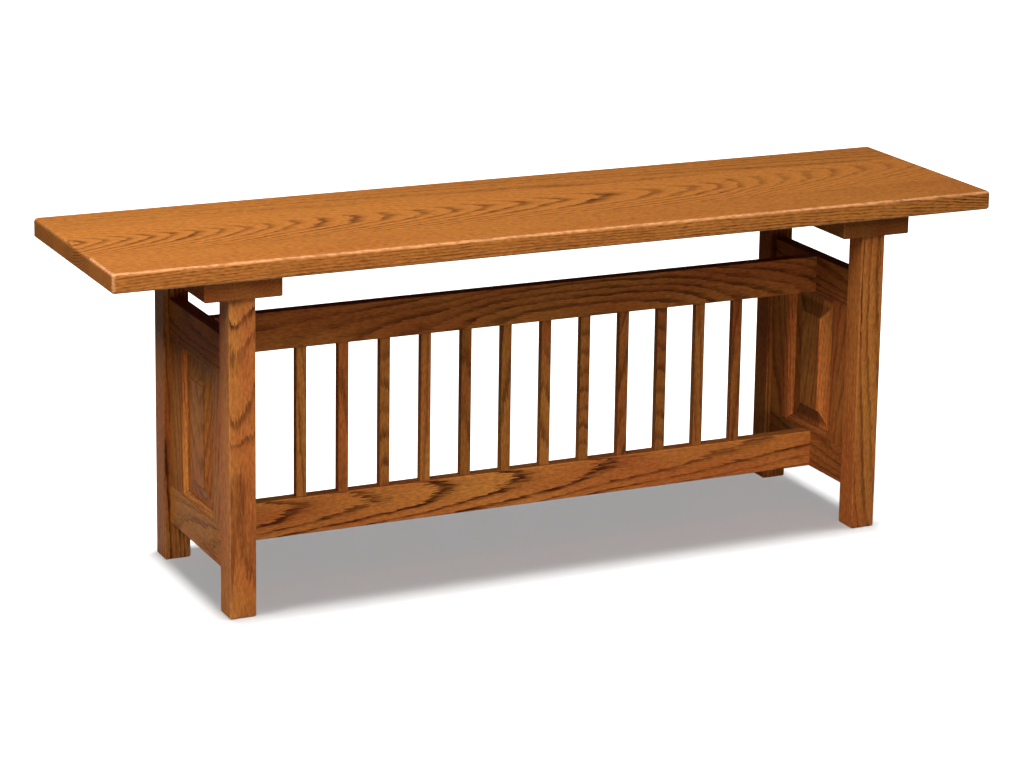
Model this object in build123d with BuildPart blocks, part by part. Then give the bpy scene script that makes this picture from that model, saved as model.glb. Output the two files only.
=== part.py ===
"""Trestle bench: an edge-glued seat on two panelled ends, which a slatted stretcher joins."""

import os

from build123d import *

# Sizes are in millimetres. +X runs along the seat, the front faces -Y, and +Z is up.
# The origin is on the floor, under the middle of the seat.

# Seat
seat_length = 1226
seat_depth = 316
seat_height = 457
seat_thickness = 25
edge_board_width = 87
seat_corner_radius = 6
seat_top_radius = 5
seat_bottom_chamfer = 2

# Legs
leg_section = 34.5
seat_overhang = 169
leg_setback = 20
leg_arris_radius = 1.8
foot_chamfer = 1.5
leg_tenon_section = 20
leg_tenon_length = 25.5

# Cleats, the bearers between the legs and the seat
cleat_width = 100
cleat_setback = 14
cleat_thickness = 26
cleat_chamfer = 1.2

# Panelled ends
frame_bottom = 51
frame_drop = 57
frame_thickness = 19
end_rail_width = 58
stile_share = 0.522
moulding_width = 8
moulding_depth = 5
moulding_quirk = 1
groove_width = 6
groove_depth = 10
end_tenon_thickness = 8
end_tenon_length = 22
end_tenon_shoulder = 6

# Raised panels
panel_tongue_thickness = 5.6
panel_tongue_reach = 8.5
panel_margin_share = 0.525
panel_field_step = 1.2
panel_lip = 1.5

# Stretcher between the ends
stretcher_rail_width = 50
stretcher_rail_thickness = 18
stretcher_arris_radius = 1.5
stretcher_tenon_thickness = 8
stretcher_tenon_width = 38
stretcher_tenon_length = 12

# Slats of the stretcher
slat_count = 12
slat_margin = 118.8
slat_width = 14
slat_thickness = 11
slat_arris_radius = 1
slat_tenon_width = 10
slat_tenon_thickness = 7
slat_tenon_length = 12

# Glue lines and running room of the joints
joint_gap = 0.1
mortise_end_gap = 1

# Screws that hold the seat, three through each cleat
screw_radius = 2.5
screw_bite = 16
screw_point_length = 6
screw_head_radius = 5.5
screw_head_thickness = 3
screw_drive_width = 3
screw_drive_depth = 2
screw_hole_gap = 0.1
screw_offset_x = 33
screw_seam_distance = 23
counterbore_gap = 2
counterbore_depth = 9
slot_travel = 5

# Heights and places that follow from the sizes above
seat_underside = seat_height - seat_thickness
cleat_underside = seat_underside - cleat_thickness
cleat_length = seat_depth - 2 * cleat_setback
leg_centre_x = seat_length / 2 - seat_overhang
leg_centre_y = seat_depth / 2 - leg_setback - leg_section / 2
leg_inner_y = leg_centre_y - leg_section / 2
frame_top = cleat_underside - frame_drop
frame_face_x = leg_centre_x - frame_thickness / 2
stile_width = stile_share * leg_inner_y
end_tenon_width = end_rail_width - groove_depth - end_tenon_shoulder
sight_y = leg_inner_y - stile_width
panel_margin = panel_margin_share * sight_y
sight_bottom = frame_bottom + end_rail_width
sight_top = frame_top - end_rail_width
groove_floor_bottom = sight_bottom - groove_depth
groove_floor_top = sight_top + groove_depth
upper_rail_z = frame_top - stretcher_rail_width / 2
lower_rail_z = frame_bottom + stretcher_rail_width / 2
slat_foot = frame_bottom + stretcher_rail_width
slat_head = frame_top - stretcher_rail_width
slat_pitch = 2 * (frame_face_x - slat_margin) / (slat_count - 1)
screw_offset_y = seat_depth / 2 - edge_board_width + screw_seam_distance
screw_hole_radius = screw_radius + screw_hole_gap
screw_bearing_z = cleat_underside + counterbore_depth
screw_length = seat_underside - screw_bearing_z + screw_bite
end_names = {-1: "left", 1: "right"}
row_names = {-1: "front", 1: "back"}

os.makedirs("parts", exist_ok=True)


class FrameSection(BaseSketchObject):
    """Section of a panelled end's rail or stile. Its plain edge lies on X and its moulded, grooved edge at y = width."""

    def __init__(self, width: float, growth: float = 0, mode: Mode = Mode.ADD):
        half = frame_thickness / 2
        flat = width - moulding_width
        with BuildSketch() as section:
            with BuildLine():
                flank = Polyline((0, 0), (half, 0), (half, flat), (half - moulding_quirk, flat))
                thumb = TangentArc(flank @ 1, (half - moulding_depth, width), tangent=(0, 1))
                Polyline(
                    thumb @ 1,
                    (groove_width / 2, width),
                    (groove_width / 2, width - groove_depth),
                    (0, width - groove_depth),
                )
                mirror(about=Plane.YZ)
            make_face()
            if growth:
                offset(amount=growth, kind=Kind.INTERSECTION)
        super().__init__(section.sketch, mode=mode)


class PanelSection(BaseSketchObject):
    """Section across a raised panel: a thick field, a hollow cove each side of it, and a thin tongue round it."""

    def __init__(self, width: float, field_width: float, mode: Mode = Mode.ADD):
        tongue = panel_tongue_thickness / 2
        brow = frame_thickness / 2 - panel_field_step
        cove_end = width / 2 - panel_tongue_reach - panel_lip
        with BuildSketch() as section:
            with BuildLine():
                edge = Polyline((width / 2, 0), (width / 2, tongue), (cove_end, tongue))
                cove = TangentArc(edge @ 1, (field_width / 2, brow), tangent=(-1, 0))
                Polyline(cove @ 1, (field_width / 2, frame_thickness / 2), (0, frame_thickness / 2))
                mirror(about=Plane.YZ)
                mirror(about=Plane.XZ)
            make_face()
        super().__init__(section.sketch, mode=mode)


def leg_points(end: int) -> list:
    """Centres of the two legs of one end, in plan."""
    return [(end * leg_centre_x, row * leg_centre_y) for row in (-1, 1)]


def fixed_screw_point(end: int) -> tuple:
    """Place of the screw that holds the seat's middle board, in plan. Its hole is round."""
    return (end * (leg_centre_x + screw_offset_x), 0)


def slotted_screw_points(end: int) -> list:
    """Places of the two screws whose slots let the seat swell and shrink, in plan."""
    return [(end * (leg_centre_x - screw_offset_x), row * screw_offset_y) for row in (-1, 1)]


def screw_points(end: int) -> list:
    """Places of all the screws of one end, in plan."""
    return [fixed_screw_point(end), *slotted_screw_points(end)]


def rail_plane(end: int, height: float, upwards: int) -> Plane:
    """Plane across an end rail: its origin is on the rail's plain edge, and its y axis points at the panel."""
    return Plane(origin=(end * leg_centre_x, 0, height), x_dir=(1, 0, 0), z_dir=(0, -upwards, 0))


# Seat boards

seat_board_edges = {
    "front": (-seat_depth / 2, edge_board_width - seat_depth / 2),
    "middle": (edge_board_width - seat_depth / 2, seat_depth / 2 - edge_board_width),
    "back": (seat_depth / 2 - edge_board_width, seat_depth / 2),
}

for board_name, (near_y, far_y) in seat_board_edges.items():
    with BuildPart() as seat_board:
        with BuildSketch(Plane.XY.offset(seat_underside)):
            Rectangle(seat_length, seat_depth)
        extrude(amount=seat_thickness)
        fillet(seat_board.edges().filter_by(Axis.Z), radius=seat_corner_radius)
        fillet(seat_board.faces().sort_by(Axis.Z)[-1].edges(), radius=seat_top_radius)
        chamfer(seat_board.faces().sort_by(Axis.Z)[0].edges(), length=seat_bottom_chamfer)
        with BuildSketch(Plane.XY.offset(seat_underside)):
            with Locations((0, (near_y + far_y) / 2)):
                Rectangle(seat_length, far_y - near_y)
        extrude(amount=seat_thickness, mode=Mode.INTERSECT)
        pilot_points = [(x, y) for end in (-1, 1) for x, y in screw_points(end) if near_y < y < far_y]
        with BuildSketch(Plane.XY.offset(seat_underside)):
            with Locations(*pilot_points):
                Circle(screw_hole_radius)
        extrude(amount=screw_bite + mortise_end_gap, mode=Mode.SUBTRACT)
    seat_board.part.label = f"seat_board_{board_name}"
    export_step(seat_board.part, f"parts/{seat_board.part.label}.step")

# Cleats

for end, end_name in end_names.items():
    with BuildPart() as cleat:
        with BuildSketch(Plane.XY.offset(cleat_underside)):
            with Locations((end * leg_centre_x, 0)):
                Rectangle(cleat_width, cleat_length)
        extrude(amount=cleat_thickness)
        chamfer(cleat.edges().filter_by(Axis.Z), length=cleat_chamfer)
        chamfer(cleat.faces().sort_by(Axis.Z)[0].edges(), length=cleat_chamfer)
        with BuildSketch(Plane.XY.offset(cleat_underside)):
            with Locations(*leg_points(end)):
                Rectangle(leg_tenon_section + 2 * joint_gap, leg_tenon_section + 2 * joint_gap)
            with Locations(*slotted_screw_points(end)):
                SlotCenterToCenter(slot_travel, 2 * screw_hole_radius, rotation=90)
            with Locations(fixed_screw_point(end)):
                Circle(screw_hole_radius)
        extrude(amount=cleat_thickness, mode=Mode.SUBTRACT)
        with BuildSketch(Plane.XY.offset(cleat_underside)):
            with Locations(*screw_points(end)):
                Circle(screw_head_radius + counterbore_gap)
        extrude(amount=counterbore_depth, mode=Mode.SUBTRACT)
    cleat.part.label = f"cleat_{end_name}"
    export_step(cleat.part, f"parts/{cleat.part.label}.step")

# Legs, whose tenons go up through the cleats

for end, end_name in end_names.items():
    for row, row_name in row_names.items():
        centre = (end * leg_centre_x, row * leg_centre_y)
        with BuildPart() as leg:
            with BuildSketch():
                with Locations(centre):
                    Rectangle(leg_section, leg_section)
            extrude(amount=cleat_underside)
            fillet(leg.edges().filter_by(Axis.Z), radius=leg_arris_radius)
            chamfer(leg.faces().sort_by(Axis.Z)[0].edges(), length=foot_chamfer)
            with BuildSketch(Plane.XY.offset(cleat_underside)):
                with Locations(centre):
                    Rectangle(leg_tenon_section, leg_tenon_section)
            extrude(amount=leg_tenon_length)
            for outer_edge, upwards in ((frame_bottom, 1), (frame_top, -1)):
                mortise_z = outer_edge + upwards * (end_tenon_shoulder + end_tenon_width / 2)
                inner_face = Plane(
                    origin=(end * leg_centre_x, row * leg_inner_y, mortise_z), x_dir=(1, 0, 0), z_dir=(0, row, 0)
                )
                with BuildSketch(inner_face):
                    Rectangle(end_tenon_thickness + 2 * joint_gap, end_tenon_width + 2 * joint_gap)
                extrude(amount=end_tenon_length + mortise_end_gap, mode=Mode.SUBTRACT)
        leg.part.label = f"leg_{end_name}_{row_name}"
        export_step(leg.part, f"parts/{leg.part.label}.step")

# End rails: plain edge outwards, moulded and grooved edge towards the panel, a tenon into each leg

for end, end_name in end_names.items():
    for rail_name, outer_edge, upwards, stretcher_z in (
        ("bottom", frame_bottom, 1, lower_rail_z),
        ("top", frame_top, -1, upper_rail_z),
    ):
        across = rail_plane(end, outer_edge, upwards)
        with BuildPart() as end_rail:
            with BuildSketch(across):
                FrameSection(end_rail_width)
            extrude(amount=leg_inner_y, both=True)
            with BuildSketch(across):
                with Locations((0, end_tenon_shoulder)):
                    Rectangle(end_tenon_thickness, end_tenon_width, align=(Align.CENTER, Align.MIN))
            extrude(amount=leg_inner_y + end_tenon_length, both=True)
            inner_face = Plane(origin=(end * frame_face_x, 0, stretcher_z), x_dir=(0, 1, 0), z_dir=(end, 0, 0))
            with BuildSketch(inner_face):
                Rectangle(stretcher_tenon_thickness + 2 * joint_gap, stretcher_tenon_width + 2 * joint_gap)
            extrude(amount=stretcher_tenon_length + mortise_end_gap, mode=Mode.SUBTRACT)
        end_rail.part.label = f"end_{rail_name}_rail_{end_name}"
        export_step(end_rail.part, f"parts/{end_rail.part.label}.step")

# End stiles: between the rails, their ends coped over the rails' mouldings and tongued into the rails' grooves

for end, end_name in end_names.items():
    for row, row_name in row_names.items():
        foot = Plane(
            origin=(end * leg_centre_x, row * leg_inner_y, groove_floor_bottom), x_dir=(-row, 0, 0), z_dir=(0, 0, 1)
        )
        with BuildPart() as end_stile:
            with BuildSketch(foot):
                FrameSection(stile_width)
            extrude(amount=groove_floor_top - groove_floor_bottom)
            for outer_edge, upwards in ((frame_bottom, 1), (frame_top, -1)):
                with BuildSketch(rail_plane(end, outer_edge, upwards)):
                    FrameSection(end_rail_width, growth=joint_gap)
                extrude(amount=leg_inner_y, both=True, mode=Mode.SUBTRACT)
        end_stile.part.label = f"end_stile_{end_name}_{row_name}"
        export_step(end_stile.part, f"parts/{end_stile.part.label}.step")

# Raised panels: the section along each direction is coved, and what both leave has mitred coves at its corners

panel_width = 2 * (sight_y + panel_tongue_reach)
panel_height = sight_top + panel_tongue_reach - groove_floor_bottom
panel_middle_z = groove_floor_bottom + panel_height / 2

for end, end_name in end_names.items():
    with BuildPart() as raised_panel:
        with BuildSketch(
            Plane(origin=(end * leg_centre_x, 0, groove_floor_bottom), x_dir=(0, 1, 0), z_dir=(0, 0, 1))
        ):
            PanelSection(panel_width, 2 * (sight_y - panel_margin))
        extrude(amount=panel_height)
        with BuildSketch(
            Plane(origin=(end * leg_centre_x, 0, panel_middle_z), x_dir=(0, 0, 1), z_dir=(0, 1, 0))
        ):
            PanelSection(panel_height, panel_height - 2 * (panel_tongue_reach + panel_margin))
        extrude(amount=panel_width / 2, both=True, mode=Mode.INTERSECT)
    raised_panel.part.label = f"raised_panel_{end_name}"
    export_step(raised_panel.part, f"parts/{raised_panel.part.label}.step")

# Stretcher rails

for rail_name, middle_z, slat_side in (("lower", lower_rail_z, 1), ("upper", upper_rail_z, -1)):
    with BuildPart() as stretcher_rail:
        with BuildSketch(Plane.YZ.offset(-frame_face_x)):
            with Locations((0, middle_z)):
                RectangleRounded(stretcher_rail_thickness, stretcher_rail_width, radius=stretcher_arris_radius)
        extrude(amount=2 * frame_face_x)
        with BuildSketch(Plane.YZ):
            with Locations((0, middle_z)):
                Rectangle(stretcher_tenon_thickness, stretcher_tenon_width)
        extrude(amount=frame_face_x + stretcher_tenon_length, both=True)
        slat_edge = Plane(
            origin=(0, 0, middle_z + slat_side * stretcher_rail_width / 2), x_dir=(1, 0, 0), z_dir=(0, 0, -slat_side)
        )
        with BuildSketch(slat_edge):
            with GridLocations(slat_pitch, 0, slat_count, 1):
                Rectangle(slat_tenon_width + 2 * joint_gap, slat_tenon_thickness + 2 * joint_gap)
        extrude(amount=slat_tenon_length + mortise_end_gap, mode=Mode.SUBTRACT)
    stretcher_rail.part.label = f"stretcher_{rail_name}_rail"
    export_step(stretcher_rail.part, f"parts/{stretcher_rail.part.label}.step")

# Slats

for number in range(slat_count):
    slat_x = (number - (slat_count - 1) / 2) * slat_pitch
    with BuildPart() as slat:
        with BuildSketch(Plane.XY.offset(slat_foot)):
            with Locations((slat_x, 0)):
                RectangleRounded(slat_width, slat_thickness, radius=slat_arris_radius)
        extrude(amount=slat_head - slat_foot)
        with BuildSketch(Plane.XY.offset(slat_foot - slat_tenon_length)):
            with Locations((slat_x, 0)):
                Rectangle(slat_tenon_width, slat_tenon_thickness)
        extrude(amount=slat_head - slat_foot + 2 * slat_tenon_length)
    slat.part.label = f"slat_{number + 1:02d}"
    export_step(slat.part, f"parts/{slat.part.label}.step")

# Screws: a flat head in the cleat's counterbore, a plain shank and a point up in the seat

for end, end_name in end_names.items():
    with BuildPart() as seat_screws:
        for x, y in screw_points(end):
            with BuildSketch(Plane(origin=(x, y, screw_bearing_z), x_dir=(1, 0, 0), z_dir=(0, -1, 0))):
                with BuildLine():
                    Polyline(
                        (0, -screw_head_thickness),
                        (screw_head_radius, -screw_head_thickness),
                        (screw_head_radius, 0),
                        (screw_radius, 0),
                        (screw_radius, screw_length - screw_point_length),
                        (0, screw_length),
                        close=True,
                    )
                make_face()
            revolve(axis=Axis((x, y, 0), (0, 0, 1)))
        with BuildSketch(Plane.XY.offset(screw_bearing_z - screw_head_thickness)):
            with Locations(*screw_points(end)):
                Rectangle(screw_drive_width, screw_drive_width)
        extrude(amount=screw_drive_depth, mode=Mode.SUBTRACT)
    seat_screws.part.label = f"seat_screws_{end_name}"
    export_step(seat_screws.part, f"parts/{seat_screws.part.label}.step")
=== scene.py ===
"""Looks of the trestle bench: stained oak for its boards, zinc for its screws, and the studio round it.

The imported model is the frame, and every piece keeps its own solid. A board's figure is worked out in
three dimensions, as rings round the heart of the log that it was sawn from, so its faces, edges and end
grain agree.
"""

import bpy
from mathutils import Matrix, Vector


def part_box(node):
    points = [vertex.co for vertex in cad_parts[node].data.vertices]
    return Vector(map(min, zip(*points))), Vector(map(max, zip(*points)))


bl_info = {
    "name": "Trestle Bench Looks",
    "version": (1, 0, 0),
    "blender": (4, 5, 0),
    "location": "View3D > Sidebar > Bench",
    "description": "Finishes the boards and screws of a trestle bench and sets up a plain studio",
    "category": "Object",
}

from functools import partial
from math import radians
from typing import NamedTuple

import bpy
import numpy as np
from mathutils import Euler, Vector

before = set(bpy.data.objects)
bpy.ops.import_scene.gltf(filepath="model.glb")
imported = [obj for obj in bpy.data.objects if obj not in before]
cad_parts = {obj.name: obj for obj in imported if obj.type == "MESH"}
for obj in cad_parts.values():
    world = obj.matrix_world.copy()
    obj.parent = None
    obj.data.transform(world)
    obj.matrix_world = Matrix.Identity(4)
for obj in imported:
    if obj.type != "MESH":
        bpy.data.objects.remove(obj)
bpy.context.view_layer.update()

MM = 0.001

# Directions in the frame: +X along the seat, the front towards -Y, +Z up
RIGHT = Vector((1, 0, 0))
LEFT = -RIGHT
BACK = Vector((0, 1, 0))
FRONT = -BACK
UP = Vector((0, 0, 1))


def linear(hex_colour):
    """Linear RGBA of an sRGB colour such as #c08040."""
    channels = [int(hex_colour[i : i + 2], 16) / 255 for i in (1, 3, 5)]
    return (*[c / 12.92 if c <= 0.04045 else ((c + 0.055) / 1.055) ** 2.4 for c in channels], 1.0)


def add(tree, kind, sockets=(), **settings):
    """Adds a node to a tree. Settings are its properties.

    Sockets are its inputs, in their order, or by name or number in a dictionary. Each is a value or the
    output of another node. A Map Range takes a number, the two ends of the range that it comes from, and the
    two of the range that it goes to. A Mix has its share at 0, numbers at 2 and 3, and colours at 6 and 7.
    """
    node = tree.nodes.new(kind)
    for name, value in settings.items():
        setattr(node, name, value)
    for key, value in sockets.items() if isinstance(sockets, dict) else enumerate(sockets):
        if isinstance(value, bpy.types.NodeSocket):
            tree.links.new(value, node.inputs[key])
        else:
            node.inputs[key].default_value = value
    return node


# Boards


# The place in a heart row that stands for the far end of its board, however long the board is
FAR_END = 1


class Board(NamedTuple):
    """How a board was sawn from its log, and how it took the stain. Lengths are in millimetres.

    Along is the way that its grain runs, and face the way that its show face looks. A heart row holds a
    place along the board, how deep under the show face and how far aside the heart of the log lies there,
    and how strongly the figure shows. Ring is the width of a year's ring, wander how far the rings stray,
    and line the share of a ring that its dark line takes. Tone lightens or darkens the whole board. Figure
    is the strength of the rings. It fades from quiet[0] to quiet[1] next to the heart, and edge is its
    strength on the faces next to the show face. Seed sets the board apart from its neighbours. Redness is
    how far the board runs red, and worn how far its arrises go pale, partly sanding wear and partly a
    painted highlight. The number beside is painted light and shade: how much lighter or darker its other
    faces are painted than its show face. Sheen is the lacquer's specular level. The board is paler from
    sap[0] to sap[1] across it, with an edge as ragged as sap[2], and sap[3] times as light: pale grain on
    the right back stile, a painted highlight on the moulding of the left back stile, and a paler front cove
    on the right panel. Thirst is painted shade, how dark the stain goes where a moulding slopes across the
    grain, and pores how dark it is in the open pores.
    """

    node: str
    along: Vector
    face: Vector
    heart: tuple
    ring: float = 3.5
    wander: float = 3
    tone: float = 1.0
    figure: float = 1.0
    seed: int = 0
    edge: float = 1.0
    line: float = 1.0
    redness: float = 1.4
    wear_and_highlight: float = 0.12
    painted_side_shading: float = 1.0
    sheen: float = 0.005
    quiet: tuple = (500, 600)
    sap: tuple = (500, 600, 0, 1)
    thirst: float = 0.0
    pores: float = 0.4


def straight(depth, side, far_depth, far_side):
    """Heart rows of a board whose heart runs straight from its foot to its far end."""
    return ((0, depth, side, 1), (FAR_END, far_depth, far_side, 1))


seat_boards = (
    Board(
        "seat_board_front",
        RIGHT,
        UP,
        ((0, 100, -110, 1), (650, 106, -118, 1.5), (1226, 90, -112, 2)),
        ring=3.4,
        wander=4,
        tone=0.85,
        figure=0.3,
        edge=1.7,
        redness=0.3,
        # Painted highlight and wear on its front arris, and painted light on its front edge
        wear_and_highlight=0.9,
        painted_side_shading=1.23,
        pores=0.65,
    ),
    Board(
        "seat_board_middle",
        RIGHT,
        UP,
        (
            (0, 111, 6, 1),
            (300, 144, 6, 1),
            (600, 168, 6, 1),
            (850, 182, 8, 0.9),
            (950, 191, 20, 0.65),
            (1226, 214, 42, 0.5),
        ),
        tone=0.9,
        figure=0.92,
        redness=0.15,
        quiet=(12, 24),
        pores=0.6,
    ),
    Board(
        "seat_board_back",
        RIGHT,
        UP,
        ((0, 80, -40, 0.4), (300, 84, -40, 0.6), (500, 88, -40, 1), (1226, 100, -60, 1)),
        ring=7,
        tone=0.82,
        figure=0.4,
        seed=3,
        redness=0.1,
        pores=0.65,
    ),
)
cleats = (
    Board("cleat_left", BACK, UP, straight(70, 20, 70, 30), ring=5, tone=0.9, figure=0.3),
    Board("cleat_right", BACK, UP, straight(70, -20, 70, -30), ring=5, tone=0.6, figure=0.3, seed=1),
)
legs = (
    Board(
        "leg_left_front",
        UP,
        FRONT,
        (
            (0, 107.1, -4, 0.6),
            (40, 109.3, -2, 0.6),
            (70, 110.1, 1, 0.7),
            (120, 110.6, 2, 0.8),
            (176, 110.9, 4, 0.9),
            (208, 112.9, 5, 0.9),
            (226, 110.3, 5, 0.9),
            (262, 105, 5, 0.9),
            (344, 100, 6, 1),
            (379, 95, 6, 1),
            (406, 90.7, 6, 1),
        ),
        ring=5,
        wander=2.8,
        tone=1.15,
        seed=1,
        edge=0.3,
        line=0.9,
        # Painted highlight and wear on its arrises
        wear_and_highlight=0.4,
        sheen=0.045,
    ),
    Board(
        "leg_left_back",
        UP,
        FRONT,
        ((0, 60, 40, 1), (431, 66, 45, 1)),
        tone=0.86,
        seed=2,
        edge=0.5,
        sheen=0.045,
    ),
    Board(
        "leg_right_front",
        UP,
        FRONT,
        ((0, 70, -44, 0.8), (200, 64, -36, 1.0), (431, 58, -44, 1.3)),
        ring=6,
        wander=5,
        tone=1.07,
        figure=0.8,
        seed=3,
        edge=0.3,
    ),
    Board("leg_right_back", UP, FRONT, ((0, 60, 50, 1), (431, 66, 45, 1)), tone=0.85, seed=4, edge=0.5),
)

# Rails of the ends: how far aside the heart lies, its depth at the back, the tone, figure, seed and sheen
end_rails = tuple(
    Board(
        f"end_{part}_rail_{end}",
        BACK,
        LEFT,
        straight(66, side, back_depth, side),
        ring=5,
        wander=5,
        tone=tone,
        figure=figure,
        seed=seed,
        # Painted shade on the faces next to the left face
        painted_side_shading=0.6,
        sheen=sheen,
    )
    for part, end, side, back_depth, tone, figure, seed, sheen in (
        ("bottom", "left", 18, 78, 0.95, 0.5, 5, 0.035),
        ("bottom", "right", -30, 75, 0.94, 0.6, 6, 0.005),
        ("top", "left", -30, 72, 1.0, 0.6, 7, 0.01),
        ("top", "right", -34, 75, 0.84, 0.7, 8, 0.005),
    )
)

# Stiles and panels stand upright in the ends, and their left faces show best in the photograph
upright = partial(Board, along=UP, face=LEFT, ring=5, wander=5, figure=0.5)
end_stiles = (
    upright("end_stile_left_front", heart=straight(60, -25, 70, -30), tone=0.97, seed=9, sheen=0.035),
    upright(
        "end_stile_left_back",
        heart=straight(60, 25, 70, 30),
        tone=0.82,
        seed=10,
        sheen=0.02,
        # A painted highlight on its inner moulding
        sap=(-18.5, -19.5, 0.5, 1.9),
    ),
    upright("end_stile_right_front", heart=straight(60, -25, 70, -30), tone=1.05, seed=11),
    upright(
        "end_stile_right_back", heart=straight(60, 25, 70, 30), tone=1.05, seed=12, sap=(-6, -12, 14, 1.8)
    ),
)
panels = (
    upright(
        "raised_panel_left",
        heart=straight(88, -6, 60, -10),
        ring=6,
        tone=0.97,
        figure=0.55,
        seed=14,
        sheen=0.035,
    ),
    upright(
        "raised_panel_right",
        heart=straight(75, 40, 60, 34),
        tone=1.03,
        seed=15,
        # Its front cove is paler, and painted shade darkens its coves across the grain
        sap=(-21, -22, 0.5, 1.8),
        thirst=0.55,
    ),
)
stretcher_rails = (
    Board(
        "stretcher_lower_rail",
        RIGHT,
        FRONT,
        (
            (0, 50, 12, 1.1),
            (240, 61.5, 12, 1.1),
            (480, 72, 14, 1.1),
            (560, 75, 20, 0.9),
            (700, 78, 24, 0.7),
            (893, 84, 27, 0.8),
        ),
        ring=5,
        tone=1.38,
        figure=1.25,
        seed=16,
        line=0.7,
        # Painted shade on its top and bottom faces
        painted_side_shading=0.6,
    ),
    Board(
        "stretcher_upper_rail",
        RIGHT,
        FRONT,
        (
            (0, 95, -15, 0.5),
            (150, 90, -20, 0.6),
            (300, 80, -30, 0.9),
            (560, 66, -34, 1),
            (750, 78, -34, 1),
            (893, 95, -30, 0.9),
        ),
        ring=5,
        tone=0.95,
        figure=0.85,
        seed=17,
        line=1.2,
        redness=1.1,
        # Painted shade on its top and bottom faces
        painted_side_shading=0.7,
    ),
)

# Slats from the left: how far aside the heart lies, its depth at the head, the figure, tone and redness
SLAT_ROWS = (
    (30, 66, 0.54, 1.18, 1.1),
    (8, 66, 0.61, 1.21, 1.4),
    (0, 84, 0.85, 0.94, 1.1),
    (-30, 64, 0.47, 1.1, 1.3),
    (12, 70, 0.68, 0.78, 1.0),
    (-14, 66, 0.81, 0.91, 1.1),
    (10, 76, 0.81, 0.99, 1.3),
    (3, 94, 0.7, 0.88, 1.1),
    (-10, 72, 0.81, 0.88, 1.3),
    (4, 90, 0.7, 0.8, 1.1),
    (24, 66, 0.54, 0.94, 1.4),
    (-20, 66, 0.68, 0.83, 1.4),
)
FIRST_SLAT_SEED = 20
slats = tuple(
    Board(
        f"slat_{number + 1:02d}",
        UP,
        FRONT,
        straight(60, side, head_depth, side),
        ring=4,
        tone=tone,
        figure=figure,
        seed=FIRST_SLAT_SEED + number,
        redness=redness,
    )
    for number, (side, head_depth, figure, tone, redness) in enumerate(SLAT_ROWS)
)


# Oak


# Noises drawn out along the grain, with the length and width of their lumps in millimetres and their detail
GRAIN_NOISES = {
    "bend": (200, 34, 4.0),
    "drift": (220, 55, 2.0),
    "patch": (60, 8, 2.0),
    "stroke": (24, 1.5, 1.0),
    "pore": (12, 1.2, 1.0),
    "mottle": (8, 2.6, 2.0),
}
NOISE_MIDDLE = 0.5

# Two boards with seeds one apart lie this many millimetres apart in the noises
SEED_STEP = 137.0

# A noise does nothing up to the first of its two levels, and all that it can from the second on
DRIFT_LEVELS = (0.35, 0.7)
PATCH_LEVELS = (0.35, 0.6)
PORE_LEVELS = (0.5, 0.7)
MOTTLE_LEVELS = (0.3, 0.7)
WEAR_HIGHLIGHT_LEVELS = (0.4, 0.6)

# Places in a ring and how dark it is there, with no dark at its two ends: a sharp line of pores, then pale
# late wood
RING_DARKNESS = ((0.05, 1.0), (0.22, 0.85), (0.4, 0.25), (0.65, 0.05))

# The faintest ring's share of the strongest one's dark, and what faint and strong patches make of each ring's
FAINTEST_RING = 0.6
PATCH_STRENGTHS = (0.5, 1.1)

# How far a stroke of pores moves a ring's edge, in rings, and how the pores of late wood compare with those
# of early wood
FEATHER = 0.5
LATE_WOOD_PORES = 0.45

# The noise that bends the rings runs from 0 to 1, so twice a board's wander takes them that far each way
WANDER_SWING = 2.0

# Shades of the mottle, the share of the figure left past a board's quiet place, and how pale an arris's
# wear and painted highlight are where they are faintest
MOTTLE_SHADES = (0.8, 1.2)
QUIET_FIGURE = 0.2
FAINTEST_WEAR_HIGHLIGHT = 0.4

# How squarely a surface looks along an axis of its board, where that starts to count and where it counts most
SHOW_FACE_TURN = (0.4, 0.8)
MOULDING_TURN = (0.03, 0.15)
END_GRAIN_TURN = (0.5, 0.9)
ARRIS_TURN = (0.8, 0.98)

# Lacquer, which is rougher by this much over the open pores and sinks this deep into them
LACQUER_IOR = 1.5
PORE_ROUGHNESS = 0.18
PORE_DEPTH = 0.12 * MM
PORE_BUMP = 0.5


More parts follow.
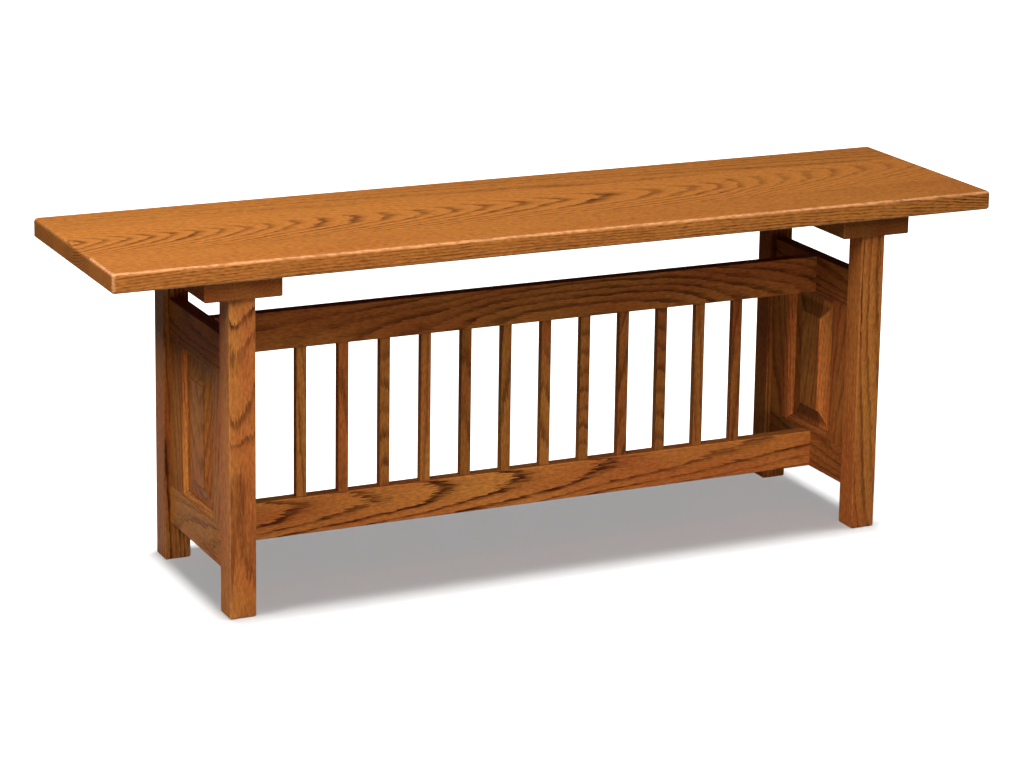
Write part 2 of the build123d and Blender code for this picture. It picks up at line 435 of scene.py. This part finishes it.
def grain_group():
    """Node group: the figure of oak at a place in a log. Place is in millimetres, with X along the grain."""
    tree = bpy.data.node_groups.new("oak_grain", "ShaderNodeTree")
    tree.interface.new_socket("Place", in_out="INPUT", socket_type="NodeSocketVector")
    for name in ("Heart depth", "Heart side", "Ring", "Line", "Wander", "Seed"):
        tree.interface.new_socket(name, in_out="INPUT", socket_type="NodeSocketFloat")
    for name in ("Stain", "Pores", "Drift", "Mottle"):
        tree.interface.new_socket(name, in_out="OUTPUT", socket_type="NodeSocketFloat")
    given = add(tree, "NodeGroupInput").outputs
    place = add(tree, "ShaderNodeSeparateXYZ", (given["Place"],)).outputs
    shift = add(tree, "ShaderNodeVectorMath", (given["Place"], given["Seed"]), operation="ADD").outputs[0]
    noise = {}
    for name, (length, width, detail) in GRAIN_NOISES.items():
        lumps = (1 / length, 1 / width, 1 / width)
        drawn = add(tree, "ShaderNodeVectorMath", (shift, lumps), operation="MULTIPLY").outputs[0]
        sockets = {"Vector": drawn, "Scale": 1.0, "Detail": detail}
        noise[name] = add(tree, "ShaderNodeTexNoise", sockets).outputs[0]

    # Distance from the heart, which wanders as a tree does
    across = add(tree, "ShaderNodeMath", (place["Y"], given["Heart side"]), operation="SUBTRACT")
    deep = add(tree, "ShaderNodeMath", (place["Z"], given["Heart depth"]), operation="ADD")
    spoke = add(tree, "ShaderNodeCombineXYZ", (across.outputs[0], deep.outputs[0], 0.0)).outputs[0]
    radius = add(tree, "ShaderNodeVectorMath", (spoke,), operation="LENGTH").outputs["Value"]
    slow = add(tree, "ShaderNodeMath", (noise["bend"], NOISE_MIDDLE), operation="SUBTRACT").outputs[0]
    swing = (slow, given["Wander"], radius)
    wandered = add(tree, "ShaderNodeMath", swing, operation="MULTIPLY_ADD").outputs[0]
    rings = add(tree, "ShaderNodeMath", (wandered, given["Ring"]), operation="DIVIDE").outputs[0]

    # Strokes of pores feather each ring's edge, and no two rings are alike in strength
    strokes = add(tree, "ShaderNodeMath", (noise["stroke"], NOISE_MIDDLE), operation="SUBTRACT")
    feathering = (strokes.outputs[0], FEATHER, rings)
    feathered = add(tree, "ShaderNodeMath", feathering, operation="MULTIPLY_ADD").outputs[0]
    phase = add(tree, "ShaderNodeMath", (feathered,), operation="FRACT").outputs[0]
    number = add(tree, "ShaderNodeMath", (feathered,), operation="FLOOR").outputs[0]
    vigour = add(tree, "ShaderNodeTexWhiteNoise", {"W": number}, noise_dimensions="1D").outputs["Value"]
    in_line = add(tree, "ShaderNodeMath", (phase, given["Line"]), operation="DIVIDE", use_clamp=True)
    band = add(tree, "ShaderNodeValToRGB", (in_line.outputs[0],))
    stops = band.color_ramp.elements
    for end in stops:
        end.color = (0, 0, 0, 1)
    for position, darkness in RING_DARKNESS:
        stops.new(position).color = (darkness, darkness, darkness, 1)
    strength = add(tree, "ShaderNodeMapRange", (vigour, 0.0, 1.0, FAINTEST_RING, 1.0)).outputs[0]
    patches = (noise["patch"], *PATCH_LEVELS, *PATCH_STRENGTHS)
    broken = add(tree, "ShaderNodeMapRange", patches).outputs[0]
    uneven = add(tree, "ShaderNodeMath", (strength, broken), operation="MULTIPLY").outputs[0]
    stain = add(tree, "ShaderNodeMath", (band.outputs[0], uneven), operation="MULTIPLY").outputs[0]

    # Open pores, thickest in the early wood
    specks = add(tree, "ShaderNodeMapRange", (noise["pore"], *PORE_LEVELS)).outputs[0]
    crowd = add(tree, "ShaderNodeMapRange", (band.outputs[0], 0.0, 1.0, LATE_WOOD_PORES, 1.0)).outputs[0]
    pores = add(tree, "ShaderNodeMath", (specks, crowd), operation="MULTIPLY").outputs[0]

    found = {"Stain": stain, "Pores": pores, "Drift": noise["drift"], "Mottle": noise["mottle"]}
    add(tree, "NodeGroupOutput", found)
    return tree


def value_along(tree, along, places, values, length):
    """A value that is known at some places along a board, as a smooth curve through them.

    The curve runs from 0 to 1, so the values are scaled to it and back. A margin over and under them keeps
    the curve from being cut off where it swings wide of its points.
    """
    margin = 1.0
    lowest = min(values) - margin
    span = max(values) + margin - lowest
    share = add(tree, "ShaderNodeMapRange", (along, 0.0, length)).outputs[0]
    curve = add(tree, "ShaderNodeFloatCurve", {"Value": share})
    line = curve.mapping.curves[0]
    first, *between, last = [
        (place / length, (value - lowest) / span) for place, value in zip(places, values)
    ]
    line.points[0].location = first
    line.points[1].location = last
    for point in between:
        line.points.new(*point)
    curve.mapping.update()
    back = (curve.outputs[0], 0.0, 1.0, lowest, lowest + span)
    return add(tree, "ShaderNodeMapRange", back, clamp=False).outputs[0]


def facing(tree, axes):
    """How squarely the surface looks along each of the axes, either way, from 0 to 1."""
    outward = add(tree, "ShaderNodeNewGeometry").outputs["Normal"]
    turns = [
        add(tree, "ShaderNodeVectorMath", (outward, axis), operation="DOT_PRODUCT").outputs["Value"]
        for axis in axes
    ]
    return [add(tree, "ShaderNodeMath", (turn,), operation="ABSOLUTE").outputs[0] for turn in turns]


def oak(board, finish, grain):
    """Material: flat-sawn red oak, sanded and stained honey brown under a satin lacquer.

    Stain gathers in the open pores of the early wood, so each ring shows as a dark stroke with a feathered
    edge, and end grain drinks it and turns darker. The lacquer gives a soft sheen that still shows the pores.
    Painted light and shade lies on some boards: pale arrises that are partly a painted highlight and partly
    wear, lighter or darker faces next to the show face, shaded coves, and a highlight on one moulding.
    """
    material = bpy.data.materials.new(f"stained_oak_{board.node}")
    material.use_nodes = True
    tree = material.node_tree
    tree.nodes.clear()

    # Millimetres along, across and into the board, from the middle of its show face at the foot of its grain
    low, high = (Vector(corner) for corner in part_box(board.node))
    across = board.face.cross(board.along)
    middle = (low + high) / 2
    half = (high - low) / 2
    foot = middle + board.face * abs(half.dot(board.face)) - board.along * abs(half.dot(board.along))
    length = 2 * abs(half.dot(board.along)) / MM
    here = add(tree, "ShaderNodeTexCoord").outputs["Object"]
    from_foot = add(tree, "ShaderNodeVectorMath", (here, foot), operation="SUBTRACT").outputs[0]
    place = [
        add(tree, "ShaderNodeVectorMath", (from_foot, axis / MM), operation="DOT_PRODUCT").outputs["Value"]
        for axis in (board.along, across, -board.face)
    ]
    in_log = add(tree, "ShaderNodeCombineXYZ", place).outputs[0]

    # The figure of the log at this place
    spots, depths, sides, shows = zip(*board.heart)
    spots = [length if spot == FAR_END else spot for spot in spots]
    depth, side, show = (
        value_along(tree, place[0], spots, column, length) for column in (depths, sides, shows)
    )
    sockets = {
        "Place": in_log,
        "Heart depth": depth,
        "Heart side": side,
        "Ring": board.ring,
        "Line": board.line,
        "Wander": WANDER_SWING * board.wander,
        "Seed": SEED_STEP * board.seed,
    }
    figure = add(tree, "ShaderNodeGroup", sockets, node_tree=grain).outputs
    end_turn, side_turn, face_turn = facing(tree, (board.along, across, board.face))

    # Wood between the rings: light or red, mottled, with painted light and shade on the faces next to the
    # show face, and paler across a strip, which on the left back stile is a painted highlight
    light, red, dark = (
        [channel * board.tone for channel in colour[:3]] + [1]
        for colour in (finish.light, finish.red, finish.dark)
    )
    reddened = (figure["Drift"], *DRIFT_LEVELS, 0.0, board.redness)
    drift = add(tree, "ShaderNodeMapRange", reddened).outputs[0]
    ground = add(tree, "ShaderNodeMix", {0: drift, 6: light, 7: red}, data_type="RGBA").outputs[2]
    mottling = (figure["Mottle"], *MOTTLE_LEVELS, *MOTTLE_SHADES)
    mottle = add(tree, "ShaderNodeMapRange", mottling).outputs[0]
    # Painted light and shade on the faces next to the show face
    painted_side_shade = add(tree, "ShaderNodeMapRange", (face_turn, *SHOW_FACE_TURN, board.painted_side_shading, 1.0)).outputs[0]
    # A paler strip across the board: pale grain on some boards, a painted highlight on the left back stile
    sap_start, sap_full, raggedness, sap_shade = board.sap
    tearing = (figure["Mottle"], 0.0, 1.0, -raggedness, raggedness)
    torn = add(tree, "ShaderNodeMapRange", tearing).outputs[0]
    outer = add(tree, "ShaderNodeMath", (place[1], torn), operation="ADD").outputs[0]
    sapwood = add(tree, "ShaderNodeMapRange", (outer, sap_start, sap_full, 1.0, sap_shade)).outputs[0]
    shade = add(tree, "ShaderNodeMath", (painted_side_shade, sapwood), operation="MULTIPLY").outputs[0]
    shaded = add(tree, "ShaderNodeMath", (mottle, shade), operation="MULTIPLY").outputs[0]
    mottled = add(tree, "ShaderNodeVectorMath", {0: ground, "Scale": shaded}, operation="SCALE").outputs[0]

    # Rings, which fade next to the heart and on the faces next to the show face, and open pores
    aside = add(tree, "ShaderNodeMath", (place[1], side), operation="SUBTRACT").outputs[0]
    fading = (aside, *board.quiet, board.figure, QUIET_FIGURE * board.figure)
    kept = add(tree, "ShaderNodeMapRange", fading).outputs[0]
    face_figure = add(tree, "ShaderNodeMapRange", (face_turn, *SHOW_FACE_TURN, board.edge, 1.0)).outputs[0]
    faced = add(tree, "ShaderNodeMath", (kept, face_figure), operation="MULTIPLY").outputs[0]
    shown = add(tree, "ShaderNodeMath", (faced, show), operation="MULTIPLY").outputs[0]
    stained = add(tree, "ShaderNodeMath", (figure["Stain"], shown), operation="MULTIPLY").outputs[0]
    ringed = add(tree, "ShaderNodeMix", {0: stained, 6: mottled, 7: dark}, data_type="RGBA").outputs[2]
    speck = add(tree, "ShaderNodeMath", (figure["Pores"], board.pores), operation="MULTIPLY").outputs[0]
    porous = add(tree, "ShaderNodeMix", {0: speck, 6: ringed, 7: dark}, data_type="RGBA").outputs[2]

    # Painted shade darkens coves that slope across the grain, and stain soaks into sawn end grain
    # Painted shade on coves across the grain
    cove_shade_share = add(tree, "ShaderNodeMapRange", (end_turn, *MOULDING_TURN, 0.0, board.thirst)).outputs[0]
    cove_shaded = add(tree, "ShaderNodeMix", {0: cove_shade_share, 6: porous, 7: dark}, data_type="RGBA").outputs[2]
    cut = add(tree, "ShaderNodeMapRange", (end_turn, *END_GRAIN_TURN, 0.0, finish.end_grain)).outputs[0]
    ended = add(tree, "ShaderNodeMix", {0: cut, 6: cove_shaded, 7: dark}, data_type="RGBA").outputs[2]

    # Arrises, where the surface faces along no axis squarely, are pale in places: partly sanding wear, partly
    # a painted highlight
    flattest = add(tree, "ShaderNodeMath", (side_turn, face_turn), operation="MAXIMUM").outputs[0]
    square = add(tree, "ShaderNodeMath", (flattest, end_turn), operation="MAXIMUM").outputs[0]
    # Painted highlight and sanding wear: arrises go towards the pale colour, speckled by the mottle
    arris = add(tree, "ShaderNodeMapRange", (square, *ARRIS_TURN, board.wear_and_highlight, 0.0)).outputs[0]
    wear_highlight_speckling = (figure["Mottle"], *WEAR_HIGHLIGHT_LEVELS, FAINTEST_WEAR_HIGHLIGHT, 1.0)
    wear_highlight_speckle = add(tree, "ShaderNodeMapRange", wear_highlight_speckling).outputs[0]
    pale = add(tree, "ShaderNodeMath", (arris, wear_highlight_speckle), operation="MULTIPLY").outputs[0]
    colour = add(tree, "ShaderNodeMix", {0: pale, 6: ended, 7: finish.wear_and_highlight}, data_type="RGBA").outputs[2]

    # Lacquer, dull and sunken over the pores
    roughening = (figure["Pores"], 0.0, 1.0, finish.roughness, finish.roughness + PORE_ROUGHNESS)
    rough = add(tree, "ShaderNodeMapRange", roughening).outputs[0]
    hollow = add(tree, "ShaderNodeMath", (figure["Pores"], -1.0), operation="MULTIPLY").outputs[0]
    sockets = {"Height": hollow, "Strength": PORE_BUMP, "Distance": PORE_DEPTH}
    bump = add(tree, "ShaderNodeBump", sockets).outputs[0]
    sockets = {
        "Base Color": colour,
        "Roughness": rough,
        "Normal": bump,
        "IOR": LACQUER_IOR,
        "Specular IOR Level": board.sheen,
    }
    surface = add(tree, "ShaderNodeBsdfPrincipled", sockets)
    add(tree, "ShaderNodeOutputMaterial", (surface.outputs[0],))
    return material


def zinc():
    """Material: bright zinc plate on drawn steel wire, dulled by handling.

    It looks a cool grey, with blotches a few millimetres wide that are paler and less polished.
    """
    blotch_width = 2.5 * MM
    polished, dulled = 0.28, 0.5
    material = bpy.data.materials.new("zinc_plate")
    material.use_nodes = True
    tree = material.node_tree
    surface = tree.nodes["Principled BSDF"]
    surface.inputs["Metallic"].default_value = 1.0
    here = add(tree, "ShaderNodeTexCoord").outputs["Object"]
    sockets = {"Vector": here, "Scale": 1 / blotch_width, "Detail": 3.0}
    blotch = add(tree, "ShaderNodeTexNoise", sockets).outputs[0]
    sockets = {0: blotch, 6: linear("#a9abad"), 7: linear("#d4d3cd")}
    grey = add(tree, "ShaderNodeMix", sockets, data_type="RGBA").outputs[2]
    rough = add(tree, "ShaderNodeMapRange", (blotch, 0.0, 1.0, polished, dulled)).outputs[0]
    tree.links.new(grey, surface.inputs["Base Color"])
    tree.links.new(rough, surface.inputs["Roughness"])
    return material


def finish_boards(boards, finish):
    """Gives each board its own oak."""
    grain = bpy.data.node_groups.get("oak_grain") or grain_group()
    for board in boards:
        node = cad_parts[board.node]
        node.data.materials.clear()
        node.data.materials.append(oak(board, finish, grain))


# Stage


# The photograph's frame in pixels, and where the lens axis meets it, right of and above its middle
PICTURE_WIDTH = 1024
PICTURE_HEIGHT = 768
AXIS_ACROSS = 592.6
AXIS_DOWN = 200.0
FILM_WIDTH = 36

# Half the side of the floor, in metres
FLOOR_HALF = 30.0

# How bright the paper is to the camera and to the boards. The lacquer mirrors it dim past the bench's left
# end and brighter from there on, and the one turns into the other between two places in metres along the seat
PAPER_SEEN = 0.82
PAPER_ON_BOARDS = 0.048
PAPER_MIRRORED = (0.06, 0.4)
MIRRORED_PLACES = (-0.92, -0.5)

# In degrees, how far each bank of lamps leans along the seat, how wide each lamp is, and how far each lamp of
# a bank is tilted to the front, with its share of the bank's light
BANK_LEAN = 18.5
LAMP_WIDTH = 3.4
LAMP_TILTS = ((5.0, 0.1), (2.6, 0.22), (0.0, 0.16), (-2.1, 0.52))

# Sines of the two heights over the horizon between which the white sweep gives way to the dim room
SWEEP_EDGE = (0.02, 0.1)


def white_paper():
    """Material: matt white paper on the floor.

    The camera sees it white, with the bench's shadow on it. The lacquer mirrors it less bright, and hardly
    any of its light falls back on the boards, so the bench's undersides stay dark.
    """
    paper = bpy.data.materials.new("white_paper")
    paper.use_nodes = True
    tree = paper.node_tree
    tree.nodes.clear()
    seen = add(tree, "ShaderNodeLightPath").outputs
    rays = (seen["Is Glossy Ray"], seen["Is Transmission Ray"])
    mirrored = add(tree, "ShaderNodeMath", rays, operation="ADD").outputs[0]
    here = add(tree, "ShaderNodeTexCoord").outputs["Object"]
    aside = add(tree, "ShaderNodeSeparateXYZ", (here,)).outputs["X"]
    image = add(tree, "ShaderNodeMapRange", (aside, *MIRRORED_PLACES, *PAPER_MIRRORED)).outputs[0]
    on_boards = (PAPER_ON_BOARDS, PAPER_ON_BOARDS, PAPER_ON_BOARDS, 1)
    in_picture = (PAPER_SEEN, PAPER_SEEN, PAPER_SEEN, 1)
    sockets = {0: mirrored, 6: on_boards, 7: image}
    thrown = add(tree, "ShaderNodeMix", sockets, data_type="RGBA").outputs[2]
    sockets = {0: seen["Is Camera Ray"], 6: thrown, 7: in_picture}
    shade = add(tree, "ShaderNodeMix", sockets, data_type="RGBA").outputs[2]
    card = add(tree, "ShaderNodeBsdfDiffuse", (shade,))
    add(tree, "ShaderNodeOutputMaterial", (card.outputs[0],))
    return paper


def lay_floor(scene):
    """Lays a flat square of paper under the bench. A corner is half a side from the middle, each way."""
    corners = np.array([(-1, -1, 0), (1, -1, 0), (1, 1, 0), (-1, 1, 0)], float) * FLOOR_HALF
    mesh = bpy.data.meshes.new("floor")
    mesh.from_pydata(corners.tolist(), [], [(0, 1, 2, 3)])
    floor = bpy.data.objects.new("floor", mesh)
    scene.collection.objects.link(floor)
    mesh.materials.append(white_paper())
    return floor


def stand_lamp(scene, lamp, lit, place=(0, 0, 0), turn=(0, 0, 0)):
    """Stands a lamp in the studio that lights one collection alone, and returns its object."""
    stand = bpy.data.objects.new(lamp.name, lamp)
    stand.location = place
    stand.rotation_euler = turn
    stand.light_linking.receiver_collection = lit
    scene.collection.objects.link(stand)
    return stand


def light_paper(scene, setup, floor):
    """Lights the paper alone.

    Two banks of lamps high over the bench lean along the seat, one each way, so that the shadow that neither
    lights ends under the legs. The tilts in a bank soften its front edge. A lamp straight above, which
    nothing but the paper blocks, lifts the shadow to a pale grey.
    """
    under_lamps = bpy.data.collections.new("lit_from_above")
    under_lamps.objects.link(floor)
    for lean in (-BANK_LEAN, BANK_LEAN):
        for tilt, share in LAMP_TILTS:
            lamp = bpy.data.lights.new("paper_lamp", "SUN")
            lamp.energy = setup.paper_light * share
            lamp.angle = radians(LAMP_WIDTH)
            stand_lamp(scene, lamp, under_lamps, turn=(radians(tilt), radians(lean), 0))
    lamp = bpy.data.lights.new("paper_fill", "SUN")
    lamp.energy = setup.paper_fill
    hung = stand_lamp(scene, lamp, under_lamps)
    hung.light_linking.blocker_collection = under_lamps


def light_bench(scene, setup):
    """Lights the bench alone, with softboxes overhead, in front and at the left, and a low card in front."""
    bench = bpy.data.collections.new("lit_by_softboxes")
    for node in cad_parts.values():
        bench.objects.link(node)

    # Each one's place, the point that it is turned to, its width and height, all in metres, and its power
    for name, place, aim, size, power in (
        ("overhead_softbox", (0, -0.3, 2.7), (0, -0.05, 0.4), (2.4, 0.9), setup.overhead_power),
        ("high_front_softbox", (-0.2, -1.2, 2.4), (-0.1, 0, 0.25), (0.9, 0.6), setup.high_front_power),
        ("front_softbox", (-0.2, -1.9, 2.0), (-0.1, 0, 0.25), (0.9, 0.6), setup.front_power),
        ("left_softbox", (-1.6, -0.3, 1.6), (-0.45, 0, 0.25), (0.5, 0.5), setup.left_power),
        ("left_front_softbox", (-1.7, -0.9, 1.68), (-0.2, 0, 0.25), (0.6, 0.5), setup.left_front_power),
        ("low_reflector", (-0.2, -1.4, 0.1), (0, 0, 0.4), (2.0, 0.4), setup.reflector_power),
    ):
        softbox = bpy.data.lights.new(name, "AREA")
        softbox.shape = "RECTANGLE"
        softbox.size, softbox.size_y = size
        softbox.energy = power
        turn = (Vector(aim) - Vector(place)).to_track_quat("-Z", "Y").to_euler()
        stand_lamp(scene, softbox, bench, place, turn)


def light_room(scene, setup):
    """Sets the bench in a dim room. The camera and the lacquer see a white sweep to just over the horizon."""
    world = bpy.data.worlds.new("studio")
    scene.world = world
    world.use_nodes = True
    tree = world.node_tree
    tree.nodes.clear()
    seen = add(tree, "ShaderNodeLightPath").outputs
    rays = (seen["Is Camera Ray"], seen["Is Glossy Ray"])
    seen_or_mirrored = add(tree, "ShaderNodeMath", rays, operation="ADD").outputs[0]
    rays = (seen_or_mirrored, seen["Is Transmission Ray"])
    shown = add(tree, "ShaderNodeMath", rays, operation="ADD").outputs[0]
    towards = add(tree, "ShaderNodeTexCoord").outputs["Generated"]
    height = add(tree, "ShaderNodeSeparateXYZ", (towards,)).outputs["Z"]
    sweep = add(tree, "ShaderNodeMapRange", (height, *SWEEP_EDGE, 1.0, setup.fill)).outputs[0]
    level = add(tree, "ShaderNodeMix", {0: shown, 2: setup.fill, 3: sweep}).outputs[0]
    glow = add(tree, "ShaderNodeBackground", ((1, 1, 1, 1), level))
    add(tree, "ShaderNodeOutputWorld", (glow.outputs[0],))


def set_camera(scene, setup):
    """Stands the camera where the photograph was taken from. It is turned, then tilted, then rolled."""
    lens = bpy.data.cameras.new("camera")
    lens.sensor_width = FILM_WIDTH
    lens.lens = setup.lens
    lens.shift_x = (PICTURE_WIDTH / 2 - AXIS_ACROSS) / PICTURE_WIDTH
    lens.shift_y = (AXIS_DOWN - PICTURE_HEIGHT / 2) / PICTURE_WIDTH
    camera = bpy.data.objects.new("camera", lens)
    camera.location = setup.camera_place
    turn = Euler((0, 0, -setup.camera_yaw)).to_matrix()
    tilt = Euler((radians(90) - setup.camera_pitch, 0, 0)).to_matrix()
    roll = Euler((0, 0, setup.camera_roll)).to_matrix()
    camera.rotation_euler = (turn @ tilt @ roll).to_euler()
    scene.collection.objects.link(camera)
    scene.camera = camera


# Settings


class OakFinish(bpy.types.PropertyGroup):
    """Colours and sheen of the stained oak."""

    light: bpy.props.FloatVectorProperty(
        name="Light wood",
        description="Late wood under stain",
        subtype="COLOR",
        size=4,
        default=linear("#c67c38"),
    )
    red: bpy.props.FloatVectorProperty(
        name="Red wood",
        description="Where the board runs redder",
        subtype="COLOR",
        size=4,
        default=linear("#b96630"),
    )
    dark: bpy.props.FloatVectorProperty(
        name="Dark wood",
        description="Stain in the pores",
        subtype="COLOR",
        size=4,
        default=linear("#4f2612"),
    )
    # Pale colour of the arrises: partly sanding wear, partly a painted highlight
    wear_and_highlight: bpy.props.FloatVectorProperty(
        name="Worn wood",
        description="Where sanding thins the stain",
        subtype="COLOR",
        size=4,
        default=linear("#e3a676"),
    )
    end_grain: bpy.props.FloatProperty(
        name="End grain",
        description="How far end grain goes to the dark colour",
        subtype="FACTOR",
        default=0.3,
        min=0,
        max=1,
    )
    roughness: bpy.props.FloatProperty(
        name="Roughness", description="Of the satin lacquer", subtype="FACTOR", default=0.42, min=0, max=1
    )


class StudioSetup(bpy.types.PropertyGroup):
    """Camera and light."""

    camera_place: bpy.props.FloatVectorProperty(
        name="Camera",
        description="Place of the lens",
        subtype="TRANSLATION",
        unit="LENGTH",
        default=(-1.7359, -3.6251, 1.3736),
    )
    camera_yaw: bpy.props.FloatProperty(
        name="Yaw", description="Turn towards +X", subtype="ANGLE", default=radians(26.793)
    )
    camera_pitch: bpy.props.FloatProperty(
        name="Pitch", description="Tilt below the horizon", subtype="ANGLE", default=radians(12.759)
    )
    camera_roll: bpy.props.FloatProperty(
        name="Roll", description="Lean of the picture", subtype="ANGLE", default=radians(1.202)
    )
    lens: bpy.props.FloatProperty(
        name="Lens", description="Focal length with film 36 mm wide", unit="CAMERA", default=111.62
    )
    paper_light: bpy.props.FloatProperty(
        name="Paper light",
        description="Strength of each bank on the paper, in watts per square metre",
        default=3.0,
    )
    paper_fill: bpy.props.FloatProperty(
        name="Paper fill",
        description="Light in the shadow on the paper, in watts per square metre",
        default=1.25,
    )
    overhead_power: bpy.props.FloatProperty(
        name="Overhead", description="Softbox overhead", unit="POWER", default=35
    )
    high_front_power: bpy.props.FloatProperty(
        name="High front", description="Softbox high at the front", unit="POWER", default=9
    )
    front_power: bpy.props.FloatProperty(
        name="Front", description="Softbox at the front", unit="POWER", default=14
    )
    left_power: bpy.props.FloatProperty(
        name="Left", description="Softbox at the left", unit="POWER", default=12.5
    )
    left_front_power: bpy.props.FloatProperty(
        name="Left front", description="Softbox at the left of the front", unit="POWER", default=14.5
    )
    reflector_power: bpy.props.FloatProperty(
        name="Reflector", description="Low card at the front", unit="POWER", default=7
    )
    fill: bpy.props.FloatProperty(
        name="Fill", description="Strength of the light all round", default=0.022
    )


# Operators


class BENCH_OT_finish_seat(bpy.types.Operator):
    """Finish the three boards of the seat"""

    bl_idname = "bench.finish_seat"
    bl_label = "Finish Seat"

    def execute(self, context):
        finish_boards(seat_boards, context.scene.oak_finish)
        return {"FINISHED"}


class BENCH_OT_finish_cleats(bpy.types.Operator):
    """Finish the cleats under the seat"""

    bl_idname = "bench.finish_cleats"
    bl_label = "Finish Cleats"

    def execute(self, context):
        finish_boards(cleats, context.scene.oak_finish)
        return {"FINISHED"}


class BENCH_OT_finish_legs(bpy.types.Operator):
    """Finish the four legs"""

    bl_idname = "bench.finish_legs"
    bl_label = "Finish Legs"

    def execute(self, context):
        finish_boards(legs, context.scene.oak_finish)
        return {"FINISHED"}


class BENCH_OT_finish_ends(bpy.types.Operator):
    """Finish the rails, stiles and raised panels of both ends"""

    bl_idname = "bench.finish_ends"
    bl_label = "Finish Ends"

    def execute(self, context):
        finish_boards(end_rails + end_stiles + panels, context.scene.oak_finish)
        return {"FINISHED"}


class BENCH_OT_finish_stretcher(bpy.types.Operator):
    """Finish the rails and slats of the stretcher"""

    bl_idname = "bench.finish_stretcher"
    bl_label = "Finish Stretcher"

    def execute(self, context):
        finish_boards(stretcher_rails + slats, context.scene.oak_finish)
        return {"FINISHED"}


class BENCH_OT_finish_screws(bpy.types.Operator):
    """Finish the screws that hold the seat"""

    bl_idname = "bench.finish_screws"
    bl_label = "Finish Screws"

    def execute(self, context):
        plate = zinc()
        for name in ("seat_screws_left", "seat_screws_right"):
            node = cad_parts[name]
            node.data.materials.clear()
            node.data.materials.append(plate)
        return {"FINISHED"}


class BENCH_OT_set_stage(bpy.types.Operator):
    """Set up the floor, the light and the camera"""

    bl_idname = "bench.set_stage"
    bl_label = "Set Stage"

    def execute(self, context):
        scene = context.scene
        setup = scene.studio_setup
        floor = lay_floor(scene)
        light_paper(scene, setup, floor)
        light_bench(scene, setup)
        light_room(scene, setup)
        scene.view_settings.view_transform = "Standard"
        set_camera(scene, setup)
        return {"FINISHED"}


class BENCH_PT_looks(bpy.types.Panel):
    """Steps that dress the bench, in their order"""

    bl_label = "Trestle Bench"
    bl_space_type = "VIEW_3D"
    bl_region_type = "UI"
    bl_category = "Bench"

    def draw(self, context):
        for settings in (context.scene.oak_finish, context.scene.studio_setup):
            for name in settings.bl_rna.properties.keys():
                if name not in ("rna_type", "name"):
                    self.layout.prop(settings, name)
        for step in steps:
            self.layout.operator(step.bl_idname)


settings_groups = (OakFinish, StudioSetup)
steps = (
    BENCH_OT_finish_seat,
    BENCH_OT_finish_cleats,
    BENCH_OT_finish_legs,
    BENCH_OT_finish_ends,
    BENCH_OT_finish_stretcher,
    BENCH_OT_finish_screws,
    BENCH_OT_set_stage,
)


def register():
    for item in (*settings_groups, *steps, BENCH_PT_looks):
        bpy.utils.register_class(item)
    bpy.types.Scene.oak_finish = bpy.props.PointerProperty(type=OakFinish)
    bpy.types.Scene.studio_setup = bpy.props.PointerProperty(type=StudioSetup)


def unregister():
    del bpy.types.Scene.oak_finish
    del bpy.types.Scene.studio_setup
    for item in reversed((*settings_groups, *steps, BENCH_PT_looks)):
        bpy.utils.unregister_class(item)


def main():
    """Dresses the bench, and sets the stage."""
    register()
    bpy.ops.bench.finish_seat()
    bpy.ops.bench.finish_cleats()
    bpy.ops.bench.finish_legs()
    bpy.ops.bench.finish_ends()
    bpy.ops.bench.finish_stretcher()
    bpy.ops.bench.finish_screws()
    bpy.ops.bench.set_stage()


if __name__ == "__main__":
    main()
